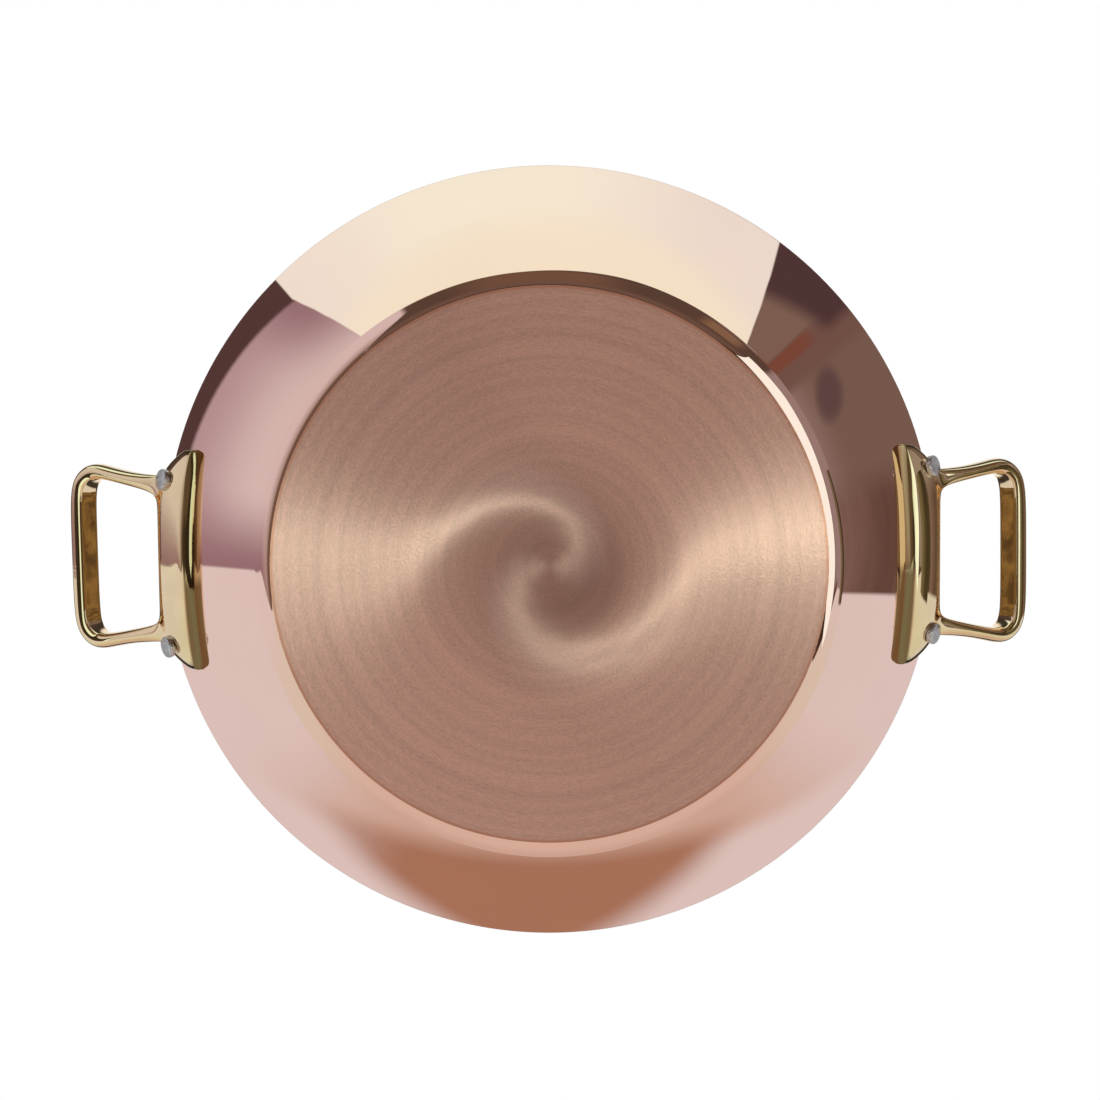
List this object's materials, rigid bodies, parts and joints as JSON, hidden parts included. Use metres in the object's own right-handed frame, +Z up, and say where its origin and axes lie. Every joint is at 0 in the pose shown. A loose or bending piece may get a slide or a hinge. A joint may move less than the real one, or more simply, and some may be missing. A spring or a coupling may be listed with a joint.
{
  "type": "gratin dish",
  "caption": "Shallow round oven dish of copper with a stainless steel lining, flared walls and cast brass loop handles riveted on opposite sides.",
  "frame": {"origin": "centre of the underside of the flat base, which is also the bottom centre of the whole dish with its handles", "axes": "+X points through handle_right, +Y towards the back, +Z up, out of the dish's mouth"},
  "size_m": [0.2508, 0.1994, 0.0515],
  "materials": {
    "copper": "polished, with a spun satin base",
    "stainless_steel": "satin",
    "brass": "polished casting",
    "rivet_steel": "satin"
  },
  "bodies": {
    "root": {"copper_shell": "copper", "steel_lining": "stainless_steel", "handle_left": "brass", "handle_right": "brass", "rivet_left_front": "rivet_steel", "rivet_left_back": "rivet_steel", "rivet_right_front": "rivet_steel", "rivet_right_back": "rivet_steel"}
  },
  "joints": []
}
